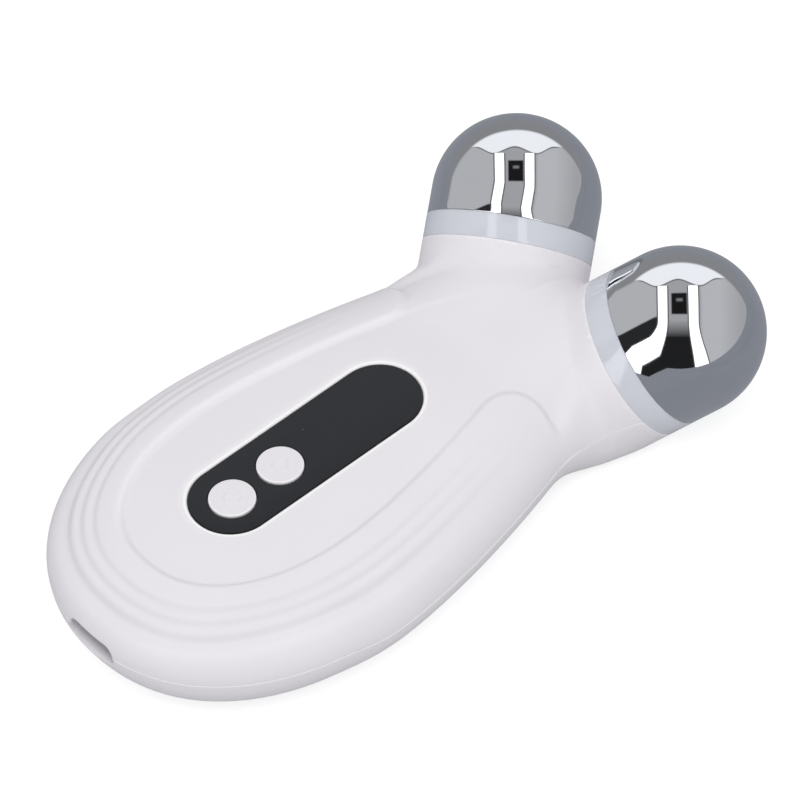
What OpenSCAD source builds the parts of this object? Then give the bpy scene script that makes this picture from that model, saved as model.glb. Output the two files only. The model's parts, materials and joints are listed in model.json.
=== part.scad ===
// Hand-held facial toning device, lying on its flat back.
// +Y runs from the charging port to the two treatment heads, +Z points out of the button panel.
// The origin is the centre of the space that the device takes up, at the height of its back.

/* [Overall] */
// Length from the charging port end to the tips of the heads
overall_length = 127.5; // [126:0.5:129]
// Height of the button panel above the back
panel_height = 22.4; // [22:0.1:23]
// Wall thickness of the two case halves
wall = 2; // [1.8:0.1:2.2]

/* [Handle] */
// Largest half width of the egg-shaped handle
handle_half_width = 32.1; // [31.6:0.1:32.6]
// Distance from the port end to the widest place
handle_widest = 40.85; // [40:0.05:42]
// Fullness of the round port end, where 2 is a plain ellipse
end_fullness = 2.16; // [2:0.02:2.4]
// How fast the handle narrows towards the neck
taper_rate = 0.0217; // [0.02:0.0001:0.023]
// How late the narrowing sets in
taper_power = 1.58; // [1.55:0.01:1.6]
// Height of the joint line between the case halves
joint_height = 10.4; // [10:0.1:10.8]
// How much higher that line lies at the port end
tail_lift = 1.25; // [1:0.05:1.4]
// Width of the soft shoulder above the joint line
shoulder_width = 16.4; // [15:0.1:17]
// Width of the rounding below the joint line
underside_round = 16.2; // [15.5:0.1:17]
// How far the flat back cuts into that rounding
back_cut = 1.5; // [1.2:0.1:1.8]
// Gap that shows as the joint line
joint_gap = 0.1; // [0.05:0.05:0.2]

/* [Heads] */
// Angle of each head to the middle line, seen from above
head_splay = 35.7; // [34:0.1:37]
// Angle of each head above the back
head_rise = 32; // [31:0.5:33]
// Outer radius of the light ring and the dome
head_radius = 14.55; // [14.4:0.05:14.7]
// Sideways distance from the middle line to the centre of the head's seat
seat_x = 15.85; // [15.6:0.05:16.2]
// Height of the centre of the head's seat
seat_z = 12.7; // [12.7:0.1:13.2]
// Height of the milky light ring along the head
ring_height = 4.3; // [4:0.1:4.6]
// Height of the straight skirt of the dome
dome_skirt = 5.3; // [5:0.1:5.6]
// Wall thickness of the metal dome
dome_wall = 0.9; // [0.8:0.1:1]
// Softness of the blend between neck and head arms
blend = 8.5; // [8:0.5:10]

/* [Panel] */
// Distance from the port end to the middle of the black window
panel_from_end = 47.75; // [47:0.25:49]
// Length of the black window
window_length = 46.9; // [46:0.1:48]
// Width of the black window
window_width = 14.7; // [14.4:0.1:15]
// Thickness of the black window
window_thick = 1.2; // [1:0.1:1.2]
// Radius of a button
button_radius = 4; // [3.8:0.1:4.1]
// Gap between a button and its hole in the window
button_gap = 0.15; // [0.1:0.05:0.2]
// Distance from the middle of the window to the power button, towards the port
power_from_middle = 16.06; // [15.8:0.02:16.2]
// Distance from the middle of the window to the mode button, towards the port
mode_from_middle = 5.59; // [5.4:0.01:5.8]
// How far a button stands above the window
button_proud = 0.35; // [0.3:0.05:0.4]
// How far a button travels when it is pressed
button_travel = 0.3; // [0.2:0.05:0.3]

/* [Charging port] */
// Width of the slot in the case
slot_width = 10.4; // [10:0.1:11]
// Height of the slot in the case
slot_height = 3.4; // [3.3:0.1:3.6]

/* [Inner parts] */
// Height of the upper face of the main board
board_top = 15.4; // [15.2:0.1:15.4]
// Thickness of the main board
board_thick = 1; // [0.8:0.1:1]
// Length of the battery cell
cell_length = 46; // [42:1:46]
// Width of the battery cell
cell_width = 30; // [26:1:30]
// Thickness of the battery cell
cell_thick = 7.5; // [6:0.5:7.5]
// Radius of a thin insulated lead
lead_radius = 0.6; // [0.5:0.05:0.6]

/* [Hidden] */

$fn = 64;
eps = 0.01;

// Places along the length, measured in the object's frame
end_y = -overall_length / 2;
widest_y = end_y + handle_widest;
panel_y = end_y + panel_from_end;
power_y = panel_y - power_from_middle;
mode_y = panel_y - mode_from_middle;

// Heads: the seat is the circle where the case ends and the light ring begins
head_axis = [sin(head_splay) * cos(head_rise), cos(head_splay) * cos(head_rise), sin(head_rise)];
dome_centre = ring_height + dome_skirt;
seat_y = overall_length / 2 - head_radius - dome_centre * head_axis[1];

// Stack of the panel, from the window down to the switches
window_low = panel_height - window_thick;
tape_thick = 0.15;
flange_top = window_low - 0.2;
flange_thick = 0.7;
flange_radius = 4.9;
stem_radius = 1.6;
stem_low = 19.4;
switch_side = 6;
switch_high = 3;
plunger_radius = 1.75;
plunger_low = 18;
display_size = [11, 17];
display_high = 4.6;
diffuser_thick = 0.4;
display_y = panel_y + 11.5;

// Main board and its screws
board_low = board_top - board_thick;
board_size = [26, 63];
board_y = end_y + 48.25;
board_screw_at = [10.5, 28.75];
screw_hole = 0.82;

// Port board
port_height = joint_height + tail_lift;
port_board_top = port_height - 1.63;
port_board_size = [15.4, 10];
port_board_y = end_y + 9.1;
port_screw_at = [6, 2.6];

// Case screws
case_screw_front = [16.5, end_y + 69.75];
case_screw_rear = [19, end_y + 29.75];
case_screws_at = [case_screw_front, case_screw_rear];
case_screw_seat = 5;
case_hole = 1.02;

// Battery
cell_y = end_y + 43.25;
cell_low = wall + 0.9;

// Shape of the outer skin ------------------------------------------------------------

// Rays that find the skin start on a spine inside the handle
spine_rear = end_y + 27.75;
spine_front = end_y + 97.75;
rear_fan_steps = 10;
side_steps = 20;
front_fan_steps = 16;
// Above 1, the stations along the spine lie closer together towards the neck
side_crowding = 1.35;
row_step = 3;
inner_row_step = 9;
first_row = 72;
longest_ray = 60;
ray_halvings = 15;
// The joint line climbs a little towards the port, and to the middle of each head's seat
tail_from = end_y + 38.75;
rise_from = end_y + 92;
rise_to = end_y + 98.5;
// The neck closes in a round end between the arms
neck_round_from = end_y + 83.75;
neck_round = 26;
arm_overrun = 10;
arm_root = 10;
blend_fade = 9;
crotch_blend = 5;
back_edge = 2;

function smooth(t) = let (c = min(1, max(0, t))) c * c * (3 - 2 * c);
function joint_z(y) = joint_height + tail_lift * smooth((tail_from - y) / (tail_from - spine_rear))
    + (seat_z - joint_height) * smooth((y - rise_from) / (rise_to - rise_from));

// Egg outline of the handle: half width, and signed distance that is negative inside
function half_width(y) = max(6, handle_half_width - taper_rate * pow(max(0, y - widest_y), taper_power));
function width_slope(y) = -taper_rate * taper_power * pow(max(0, y - widest_y), taper_power - 1);
function outline_distance(x, y) = y < widest_y
    ? end_distance(max(abs(x), eps) / handle_half_width, (widest_y - y) / handle_widest, end_fullness)
    : neck_distance(x / half_width(y), max(0, y - neck_round_from) / neck_round, y);
function end_distance(u, v, e) = let (
    r = pow(pow(u, e) + pow(v, e), 1 / e),
    du = pow(u / r, e - 1) / handle_half_width,
    dv = pow(v / r, e - 1) / handle_widest
) (r - 1) / norm([du, dv]);
function neck_distance(u, v, y) = let (
    w = half_width(y),
    r = norm([u, v]) + eps / 1000,
    du = u / w / r,
    dv = (v / neck_round - u * u * width_slope(y) / w) / r
) (r - 1) / norm([du, dv]);

// Handle: a flat top and back with round shoulders that meet at the joint line
function handle_distance(p) = let (
    inset = -outline_distance(p[0], p[1]),
    line = joint_z(p[1]),
    above = p[2] > line,
    a = above ? shoulder_width : underside_round,
    b = above ? panel_height - line : line + back_cut,
    u = max(0, a - inset) / a,
    v = (p[2] - line) / b,
    r = norm([u, v]) + eps / 100
) (r - 1) * r / norm([u / a, v / b]);

// Arm of one head: a round bar that runs a little past the seat
function arm_depth(p, side) = (seat_of(side) - p) * axis_of(side);
function arm_distance(p, side) = let (
    d = p - seat_of(side),
    along = d * axis_of(side),
    away = norm(d - along * axis_of(side))
) max(norm([away, max(0, -along - arm_root)]) - head_radius, along - arm_overrun);

function soft_min(a, b, k) = let (h = max(k - abs(a - b), 0) / max(k, eps)) min(a, b) - h * h * k / 4;

function body_distance(p) = let (
    fade = smooth(min(arm_depth(p, 1), arm_depth(p, -1)) / blend_fade),
    arms = soft_min(arm_distance(p, 1), arm_distance(p, -1), crotch_blend * fade)
) -soft_min(-soft_min(handle_distance(p), arms, blend * fade), p[2], back_edge * fade);

// Distance along a ray at which the skin, or the wall's inner face, is reached
function reach(o, d, inset, lo, hi, n) = let (m = (lo + hi) / 2) n == 0 ? m
    : body_distance(o + d * m) + inset < 0 ? reach(o, d, inset, m, hi, n - 1)
    : reach(o, d, inset, lo, m, n - 1);

// Columns of the skin, once round from the port end: start on the spine, and direction
right_columns = concat(
    [for (i = [0:rear_fan_steps]) let (t = 90 * i / rear_fan_steps) [spine_rear, sin(t), -cos(t)]],
    [for (i = [side_steps - 1:-1:1])
        [spine_front - (spine_front - spine_rear) * pow(i / side_steps, side_crowding), 1, 0]],
    [for (i = [0:front_fan_steps]) let (t = 90 * i / front_fan_steps) [spine_front, cos(t), sin(t)]]
);
half_turn = len(right_columns) - 1;
columns = concat(
    right_columns,
    [for (i = [half_turn - 1:-1:1]) [right_columns[i][0], -right_columns[i][1], right_columns[i][2]]]
);
turn = len(columns);

function skin_row(tilt, inset, drop) = [for (c = columns) let (
    o = [0, c[0], joint_z(c[0]) - drop],
    d = [c[1] * cos(tilt), c[2] * cos(tilt), sin(tilt)]
) o + d * reach(o, d, inset, 0, longest_ray, ray_halvings)];

// One case half as a closed skin: outer rows, joint face, inner rows, and a cap on each
module half_shell(side) {
    drop = side > 0 ? 0 : joint_gap;
    rows = concat(
        [for (t = [first_row:-row_step:0]) skin_row(side * t, 0, drop)],
        [for (t = [0:inner_row_step:first_row]) skin_row(side * t, wall, drop)]
    );
    last = (len(rows) - 1) * turn;
    sides = [for (r = [0:len(rows) - 2], i = [0:turn - 1]) let (
        a = r * turn + i,
        b = r * turn + (i + 1) % turn
    ) each i < half_turn
        ? [[a, a + turn, b], [b, a + turn, b + turn]]
        : [[a, a + turn, b + turn], [a, b + turn, b]]];
    caps = [for (i = [0:half_turn - 1]) let (a = i, b = i + 1, c = turn - i - 1, d = (turn - i) % turn) each [
        if (i > 0) [a, b, d],
        if (i < half_turn - 1) [b, c, d]
    ]];
    far_caps = [for (f = caps) [f[2] + last, f[1] + last, f[0] + last]];
    faces = concat(sides, caps, far_caps);
    points = [for (r = rows) each r];
    polyhedron(points, side < 0 ? faces : [for (f = faces) [f[2], f[1], f[0]]]);
}

// Placing helpers -------------------------------------------------------------------------

function axis_of(side) = [side * head_axis[0], head_axis[1], head_axis[2]];
function seat_of(side) = [side * seat_x, seat_y, seat_z];
// Point given in a head's own frame, with x level and z along the head
function head_point(side, p) = seat_of(side) + p[0] * [side * cos(head_splay), -sin(head_splay), 0]
    + p[2] * axis_of(side);
module at_head(side) {
    translate(seat_of(side)) rotate([0, 0, -side * head_splay]) rotate([head_rise - 90, 0, 0])
        scale([side, 1, 1]) children();
}
module mirrored() {
    for (s = [-1, 1]) scale([s, 1, 1]) children();
}
module tube(outer, inner, low, high) {
    difference() {
        translate([0, 0, low]) cylinder(r = outer, h = high - low);
        translate([0, 0, low - 1]) cylinder(r = inner, h = high - low + 2);
    }
}
// What is left of a shape above a level
module over_floor(low) {
    side = 2 * overall_length;
    difference() {
        children();
        translate([-side / 2, -side / 2, low - side]) cube(side);
    }
}
module slab(size, at, low, high) {
    translate([at[0] - size[0] / 2, at[1] - size[1] / 2, low]) cube([size[0], size[1], high - low]);
}
// Pill-shaped plate round the middle of the panel
module pill(length, width, low, high) {
    translate([0, panel_y, low]) {
        slab([width, length - width], [0, 0], 0, high - low);
        for (s = [-1, 1]) translate([0, s * (length - width) / 2, 0]) cylinder(d = width, h = high - low);
    }
}
// Slot with round ends that lies along the port's own direction
module port_slot(width, height, from, to) {
    translate([0, from, port_height]) rotate([-90, 0, 0]) {
        slab([width - height, height], [0, 0], 0, to - from);
        for (s = [-1, 1]) translate([s * (width - height) / 2, 0, 0]) cylinder(d = height, h = to - from);
    }
}
// Round lead swept along points
lead_sides = 8;
module lead(path) {
    n = len(path);
    points = [for (i = [0:n - 1]) let (
        ahead = path[min(n - 1, i + 1)] - path[max(0, i - 1)],
        t = ahead / norm(ahead),
        side = cross(t, abs(t[0]) > 0.9 ? [0, 1, 0] : [1, 0, 0]),
        u = side / norm(side),
        v = cross(t, u)
    ) for (k = [0:lead_sides - 1]) let (a = 360 * k / lead_sides)
        path[i] + lead_radius * (cos(a) * u + sin(a) * v)];
    walls = [for (i = [0:n - 2], k = [0:lead_sides - 1]) let (
        a = i * lead_sides + k,
        b = i * lead_sides + (k + 1) % lead_sides
    ) each [[b, a, a + lead_sides], [b + lead_sides, b, a + lead_sides]]];
    first = [for (k = [0:lead_sides - 1]) k];
    final = [for (k = [lead_sides - 1:-1:0]) (n - 1) * lead_sides + k];
    polyhedron(points, concat(walls, [first], [final]));
}

// Case ----------------------------------------------------------------------------------------

module case_cuts() {
    beyond = 40;
    slot_deep = 6;
    for (s = [-1, 1]) {
        at_head(s) translate([-beyond / 2, -beyond / 2, 0]) cube(beyond);
        over_floor(plug_floor - plug_clear) at_head(s)
            translate([0, 0, -plug_depth - plug_clear]) cylinder(r = plug_radius + plug_clear, h = plug_depth + 1);
    }
    port_slot(slot_width, slot_height, end_y - 1, end_y + slot_deep);
}

module top_shell() {
    boss_radius = 3;
    stud_radius = 2.4;
    stud_deep = 4;
    boss_deep = 7.5;
    ceiling = panel_height - wall + 0.4;
    ledge = 1.6;
    fit = 0.1;
    color([0.91, 0.9, 0.92]) difference() {
        union() {
            half_shell(1);
            mirrored() for (p = case_screws_at)
                translate([p[0], p[1], joint_height + fit]) cylinder(r = boss_radius, h = ceiling - joint_height - 0.6);
            mirrored() for (s = [-1, 1]) translate([board_screw_at[0], board_y + s * board_screw_at[1], board_top])
                cylinder(r = stud_radius, h = ceiling - board_top);
        }
        case_cuts();
        pill(window_length + fit, window_width + fit, window_low - tape_thick, panel_height + 2);
        pill(window_length - 2 * ledge, window_width - 2 * ledge, panel_height - wall - 1, panel_height + 2);
        mirrored() for (p = case_screws_at)
            translate([p[0], p[1], joint_height - 1]) cylinder(r = case_hole, h = boss_deep + 1);
        mirrored() for (s = [-1, 1]) translate([board_screw_at[0], board_y + s * board_screw_at[1], board_top - 1])
            cylinder(r = screw_hole, h = stud_deep + 1);
    }
}

module bottom_shell() {
    boss_radius = 3.2;
    head_recess = 2.3;
    stud_radius = 2;
    color([0.9, 0.89, 0.91]) difference() {
        union() {
            half_shell(-1);
            mirrored() for (p = case_screws_at)
                translate([p[0], p[1], 1]) cylinder(r = boss_radius, h = joint_height - joint_gap - 1);
            mirrored() translate([port_screw_at[0], port_board_y + port_screw_at[1], 1])
                cylinder(r = stud_radius, h = port_board_top - 2);
        }
        case_cuts();
        mirrored() for (p = case_screws_at) {
            translate([p[0], p[1], -1]) cylinder(r = head_recess, h = case_screw_seat + 1);
            translate([p[0], p[1], 0]) cylinder(r = case_hole, h = joint_height + 1);
        }
        mirrored() translate([port_screw_at[0], port_board_y + port_screw_at[1], 3])
            cylinder(r = screw_hole, h = joint_height);
    }
}

// Panel ----------------------------------------------------------------------------------------

module display_window() {
    color([0.18, 0.19, 0.21]) difference() {
        pill(window_length, window_width, window_low, panel_height);
        for (y = [power_y, mode_y]) translate([0, y, window_low - 1])
            cylinder(r = button_radius + button_gap, h = window_thick + 2);
    }
}

module window_tape() {
    color([0.15, 0.15, 0.15]) difference() {
        pill(window_length - 0.1, window_width - 0.1, window_low - tape_thick, window_low);
        pill(window_length - 3, window_width - 3, window_low - 1, window_low + 1);
    }
}

// Button: a cap that shows in the window, a flange behind it and a stem that bears on the switch
module button(y) {
    color([0.92, 0.91, 0.93]) translate([0, y, 0]) {
        translate([0, 0, stem_low]) cylinder(r = stem_radius, h = flange_top - flange_thick - stem_low + eps);
        translate([0, 0, flange_top - flange_thick]) cylinder(r = flange_radius, h = flange_thick);
        translate([0, 0, flange_top - eps])
            cylinder(r = button_radius, h = panel_height + button_proud - flange_top + eps);
    }
}

module plunger(y) {
    color([0.2, 0.2, 0.2]) translate([0, y, plunger_low]) cylinder(r = plunger_radius, h = stem_low - plunger_low);
}

module tact_switch(y) {
    well = button_travel + 0.3;
    color([0.75, 0.75, 0.76]) difference() {
        slab([switch_side, switch_side], [0, y], board_top, board_top + switch_high);
        translate([0, y, plunger_low - well]) cylinder(r = plunger_radius + 0.1, h = switch_high);
    }
}

module display_module() {
    color([0.85, 0.85, 0.83]) slab(display_size, [0, display_y], board_top, board_top + display_high);
}

module display_diffuser() {
    low = board_top + display_high;
    color([0.96, 0.96, 0.96, 0.8])
        slab([display_size[0] - 1, display_size[1] - 1], [0, display_y], low, low + diffuser_thick);
}

// Boards ------------------------------------------------------------------------------------------

module main_board() {
    corner = 3;
    inner = [board_size[0] - 2 * corner, board_size[1] - 2 * corner];
    color([0.1, 0.35, 0.2]) difference() {
        union() {
            slab([board_size[0], inner[1]], [0, board_y], board_low, board_top);
            slab([inner[0], board_size[1]], [0, board_y], board_low, board_top);
            mirrored() for (s = [-1, 1]) translate([inner[0] / 2, board_y + s * inner[1] / 2, board_low])
                cylinder(r = corner, h = board_thick);
        }
        mirrored() for (s = [-1, 1]) translate([board_screw_at[0], board_y + s * board_screw_at[1], board_low - 1])
            cylinder(r = screw_hole + 0.2, h = board_thick + 2);
    }
}

module control_chip() {
    side = 7;
    color([0.1, 0.1, 0.11]) slab([side, side], [0, board_y + 0.5], board_low - 1, board_low);
}

module boost_coil() {
    side = 6;
    high = 3;
    color([0.25, 0.25, 0.27]) slab([side, side], [7, board_y - 14.5], board_low - high, board_low);
}

// Transformer: two square flanges with the round winding between them
module pulse_transformer() {
    at = [4.5, board_y + 25.5];
    side = 8;
    low = 8.6;
    winding_radius = 3.4;
    color([0.2, 0.2, 0.21]) {
        slab([side, side], at, low, low + 1.6);
        slab([side, side], at, board_low - 1.2, board_low);
        translate([at[0], at[1], low + 1]) cylinder(r = winding_radius, h = board_low - low - 1.5);
    }
}

socket_at = [-5, end_y + 72.25];
module battery_socket() {
    color([0.93, 0.92, 0.88]) slab([6, 4], socket_at, board_low - 3.4, board_low);
}

// Battery ---------------------------------------------------------------------------------------------

module battery_cell() {
    edge = 1.2;
    high = cell_low + cell_thick;
    color([0.7, 0.72, 0.74]) {
        slab([cell_width - 2 * edge, cell_length], [0, cell_y], cell_low, high);
        slab([cell_width, cell_length], [0, cell_y], cell_low + edge, high - edge);
        mirrored() for (z = [cell_low + edge, high - edge])
            translate([cell_width / 2 - edge, cell_y - cell_length / 2, z])
                rotate([-90, 0, 0]) cylinder(r = edge, h = cell_length);
    }
}

module battery_foam() {
    color([0.2, 0.2, 0.2]) slab([cell_width - 6, cell_length - 8], [0, cell_y], wall + 0.1, cell_low);
}

module battery_leads() {
    cell_front = cell_y + cell_length / 2;
    socket_front = socket_at[1] + 2;
    socket_mid = board_low - 1.7;
    for (i = [-1, 1]) color(i > 0 ? "crimson" : [0.12, 0.12, 0.12]) lead([
        for (p = [[0, 7.5], [3.5, 7.5], [7.5, 7.8], [10.4, 9], [11.6, 10.8], [11, 12.3], [9.6, socket_mid]])
            [socket_at[0] + i, cell_front + p[0], p[1]],
        [socket_at[0] + i, socket_front, socket_mid]
    ]);
}

// Charging port ------------------------------------------------------------------------------------------

usb_from = end_y + 2.45;
usb_long = 7.3;
usb_width = 8.94;
usb_height = 3.26;

module port_board() {
    color([0.1, 0.35, 0.2]) difference() {
        slab(port_board_size, [0, port_board_y], port_board_top - 1, port_board_top);
        mirrored() translate([port_screw_at[0], port_board_y + port_screw_at[1], port_board_top - 2])
            cylinder(r = screw_hole + 0.2, h = 3);
    }
}

module usb_shell() {
    sheet = 0.3;
    back = 0.6;
    color([0.78, 0.78, 0.79]) difference() {
        port_slot(usb_width, usb_height, usb_from, usb_from + usb_long);
        port_slot(usb_width - 2 * sheet, usb_height - 2 * sheet, usb_from - 1, usb_from + usb_long - back);
    }
}

module usb_tongue() {
    tongue = [6.7, 5.5, 0.7];
    color([0.12, 0.12, 0.13])
        translate([-tongue[0] / 2, usb_from + 1.2, port_height - tongue[2] / 2]) cube(tongue);
}

module port_leads() {
    main_rear = board_y - board_size[1] / 2;
    for (x = [-2.4, -0.8, 0.8, 2.4]) color([0.85, 0.85, 0.85]) lead([
        [x, port_board_y + 3.4, port_board_top],
        [x, port_board_y + 3.4, port_board_top + 1],
        [x, port_board_y + 4.4, port_board_top + 2.4],
        [x, main_rear + 0.4, board_low - 2.6],
        [x, main_rear + 2.3, board_low - 1.2],
        [x, main_rear + 2.3, board_low]
    ]);
}

// Heads ------------------------------------------------------------------------------------------------------

// Heights along the head, from the seat
seat_disc = 1.6;
plug_depth = 7;
plug_radius = 12;
plug_floor = wall + 0.4;
plug_clear = 0.1;
post_radius = 4;
carrier_low = 4.9;
carrier_high = 9;
carrier_disc = 1.5;
carrier_radius = 13.55;
led_board_low = 0.1;
led_board_high = 1.1;
spring_thick = 0.3;
lead_offset = 6;
lead_hole = 0.9;

module light_ring(side) {
    color([0.85, 0.87, 0.9, 0.9]) at_head(side) tube(head_radius, plug_radius + 0.1, 0, ring_height);
}

module dome(side) {
    color([0.75, 0.76, 0.78]) at_head(side) rotate_extrude() difference() {
        union() {
            translate([0, ring_height]) square([head_radius, dome_skirt]);
            intersection() {
                translate([0, dome_centre]) circle(r = head_radius);
                translate([0, dome_centre]) square(head_radius);
            }
        }
        translate([-1, ring_height - 1]) square([head_radius - dome_wall + 1, dome_skirt + 1]);
        translate([0, dome_centre]) circle(r = head_radius - dome_wall);
    }
}

module head_core(side) {
    color([0.93, 0.93, 0.94]) over_floor(plug_floor) at_head(side) difference() {
        union() {
            tube(plug_radius, plug_radius - 1.6, -plug_depth, 0);
            translate([0, 0, -seat_disc]) cylinder(r = plug_radius, h = seat_disc);
            cylinder(r = post_radius, h = carrier_high - carrier_disc);
        }
        translate([0, 0, 1]) cylinder(r = case_hole, h = carrier_high);
        for (s = [-1, 1]) translate([s * lead_offset, 0, -seat_disc - 1]) cylinder(r = lead_hole, h = seat_disc + 2);
    }
}

module led_board(side) {
    lamps = 8;
    lamp = [1.6, 2.2, 0.9];
    color([0.93, 0.93, 0.9]) at_head(side) {
        difference() {
            tube(plug_radius - 0.6, post_radius + 0.2, led_board_low, led_board_high);
            translate([lead_offset, 0, -1]) cylinder(r = lead_hole, h = 4);
        }
        for (i = [0:lamps - 1]) rotate([0, 0, 360 * (i + 0.5) / lamps])
            translate([9.4, -lamp[1] / 2, led_board_high]) cube(lamp);
    }
}

module dome_seat(side) {
    color([0.9, 0.9, 0.91]) at_head(side) difference() {
        union() {
            tube(carrier_radius, carrier_radius - 1.4, carrier_low, carrier_high);
            translate([0, 0, carrier_high - carrier_disc]) cylinder(r = carrier_radius, h = carrier_disc);
        }
        cylinder(r = case_hole + 0.15, h = carrier_high + 1);
        translate([lead_offset, 0, 0]) cylinder(r = lead_hole, h = carrier_high + 1);
    }
}

// Spring strip that carries the current from the lead to the inside of the dome
module contact_spring(side) {
    reach_out = carrier_radius - 0.1;
    color([0.8, 0.65, 0.3]) at_head(side) difference() {
        union() {
            translate([0, 0, carrier_high]) cylinder(r = 3.4, h = spring_thick);
            translate([0, -1.5, carrier_high]) cube([reach_out, 3, spring_thick]);
            translate([reach_out - spring_thick, -1.5, carrier_high]) cube([spring_thick, 3, 1.1]);
        }
        translate([0, 0, carrier_high - 1]) cylinder(r = case_hole + 0.15, h = 3);
    }
}

module dome_screw(side) {
    color([0.7, 0.7, 0.72]) at_head(side) difference() {
        union() {
            translate([0, 0, 2]) cylinder(r = case_hole - 0.02, h = carrier_high + spring_thick - 2 + eps);
            translate([0, 0, carrier_high + spring_thick]) cylinder(r = 2.2, h = 1.5);
        }
        cross_recess(carrier_high + spring_thick + 1.5, 1);
    }
}

module electrode_lead(side) {
    start = board_y + board_size[1] / 2 - 0.8;
    color("crimson") lead([
        [side * 6.5, start, board_low],
        [side * 6.5, start, board_low - 1],
        [side * 6.7, start + 1.2, board_low - 2.2],
        [side * 7.6, start + 3.4, board_low - 3.2],
        [side * 10, start + 8, board_low - 5.2],
        [side * 13.2, start + 13.2, board_low - 6.5],
        head_point(side, [lead_offset, 0, -9]),
        head_point(side, [lead_offset, 0, -5]),
        head_point(side, [lead_offset, 0, carrier_high])
    ]);
}

module led_lead(side) {
    start = board_y + board_size[1] / 2 - 0.8;
    color("white") lead([
        [side * 3, start, board_low],
        [side * 3, start, board_low - 1],
        [side * 3, start + 1.2, board_low - 2.1],
        [side * 3.2, start + 3.4, board_low - 3],
        [side * 4, start + 9, board_low - 4.6],
        [side * 5, start + 16, board_low - 6],
        head_point(side, [-lead_offset, 0, -9]),
        head_point(side, [-lead_offset, 0, -5]),
        head_point(side, [-lead_offset, 0, led_board_low])
    ]);
}

// Screws ---------------------------------------------------------------------------------------------------------

module cross_recess(top, deep) {
    translate([0, 0, top - deep]) {
        slab([2.4, 0.5], [0, 0], 0, deep + 1);
        slab([0.5, 2.4], [0, 0], 0, deep + 1);
    }
}

// Pan-head screw that stands head down, with its tip upwards
module screw(head_low, head_high, tip, head_r, shank_r) {
    difference() {
        union() {
            translate([0, 0, head_low]) cylinder(r = head_r, h = head_high - head_low);
            translate([0, 0, head_high - eps]) cylinder(r = shank_r, h = tip - head_high + eps);
        }
        translate([0, 0, head_low]) mirror([0, 0, 1]) cross_recess(0, 0.9);
    }
}

module case_screws() {
    color([0.6, 0.6, 0.62]) mirrored() for (p = case_screws_at)
        translate([p[0], p[1], 0])
            screw(case_screw_seat - 1.6, case_screw_seat, joint_height + 7, 2.1, case_hole - 0.02);
}

module board_screws() {
    color([0.6, 0.6, 0.62]) mirrored() for (s = [-1, 1])
        translate([board_screw_at[0], board_y + s * board_screw_at[1], 0])
            screw(board_low - 1.3, board_low, board_top + 3.6, 1.8, screw_hole - 0.02);
}

module port_board_screws() {
    color([0.6, 0.6, 0.62]) mirrored() translate([port_screw_at[0], port_board_y + port_screw_at[1], port_board_top])
        mirror([0, 0, 1]) screw(-1.3, 0, 5, 1.7, screw_hole - 0.02);
}

top_shell();
bottom_shell();
display_window();
window_tape();
button(power_y);  // power_button
button(mode_y);  // mode_button
plunger(power_y);  // power_plunger
plunger(mode_y);  // mode_plunger
tact_switch(power_y);  // power_switch
tact_switch(mode_y);  // mode_switch
main_board();
display_module();
display_diffuser();
control_chip();
boost_coil();
pulse_transformer();
battery_socket();
battery_cell();
battery_foam();
battery_leads();
port_board();
usb_shell();
usb_tongue();
port_leads();
dome(-1);  // left_dome
dome(1);  // right_dome
light_ring(-1);  // left_light_ring
light_ring(1);  // right_light_ring
head_core(-1);  // left_head_core
head_core(1);  // right_head_core
led_board(-1);  // left_led_board
led_board(1);  // right_led_board
dome_seat(-1);  // left_dome_seat
dome_seat(1);  // right_dome_seat
contact_spring(-1);  // left_contact_spring
contact_spring(1);  // right_contact_spring
dome_screw(-1);  // left_dome_screw
dome_screw(1);  // right_dome_screw
electrode_lead(-1);  // left_electrode_lead
electrode_lead(1);  // right_electrode_lead
led_lead(-1);  // left_led_lead
led_lead(1);  // right_led_lead
case_screws();
board_screws();
port_board_screws();
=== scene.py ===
# %% [markdown]
# # A hand-held facial toner, piece by piece
# The object is an egg-shaped plastic handle that forks into two arms. Each arm ends in a
# milky light ring and a polished metal dome. A black window with two round buttons sits
# in the panel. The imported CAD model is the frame: it fixes every size and place. What
# shows from outside is built again here in finer form, and the rest of the CAD pieces
# stay and get finishes of their own.

# %% Load the frame
import json
from math import cos, pi, radians, sin

import bmesh
import bpy
import numpy as np
from mathutils import Matrix, Vector


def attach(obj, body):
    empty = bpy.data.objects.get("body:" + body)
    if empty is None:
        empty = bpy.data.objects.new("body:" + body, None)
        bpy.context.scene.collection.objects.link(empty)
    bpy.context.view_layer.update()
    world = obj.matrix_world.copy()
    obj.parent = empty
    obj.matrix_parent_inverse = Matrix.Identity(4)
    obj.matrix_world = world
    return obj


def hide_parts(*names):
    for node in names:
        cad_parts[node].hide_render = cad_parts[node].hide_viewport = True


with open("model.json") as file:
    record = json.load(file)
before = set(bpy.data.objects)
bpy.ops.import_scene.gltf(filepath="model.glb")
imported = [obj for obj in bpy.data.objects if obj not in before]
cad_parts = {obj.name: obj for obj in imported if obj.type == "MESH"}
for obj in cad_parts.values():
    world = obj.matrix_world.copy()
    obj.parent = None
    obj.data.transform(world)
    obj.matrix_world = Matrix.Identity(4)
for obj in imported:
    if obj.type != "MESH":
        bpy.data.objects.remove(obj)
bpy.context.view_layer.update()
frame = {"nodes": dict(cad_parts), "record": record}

case_body, power_body, mode_body = "case", "power_key", "mode_key"

# %% [markdown]
# ## The camera
# The photograph was taken from far away with a long lens, so the far head looks nearly as
# large as the near one. The three rows below are the camera's own directions, right, down
# and forward, in the object's frame. A long lens with the camera 1.5 m away gives the same
# flat perspective; a short lens close by would swell the near end.

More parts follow.
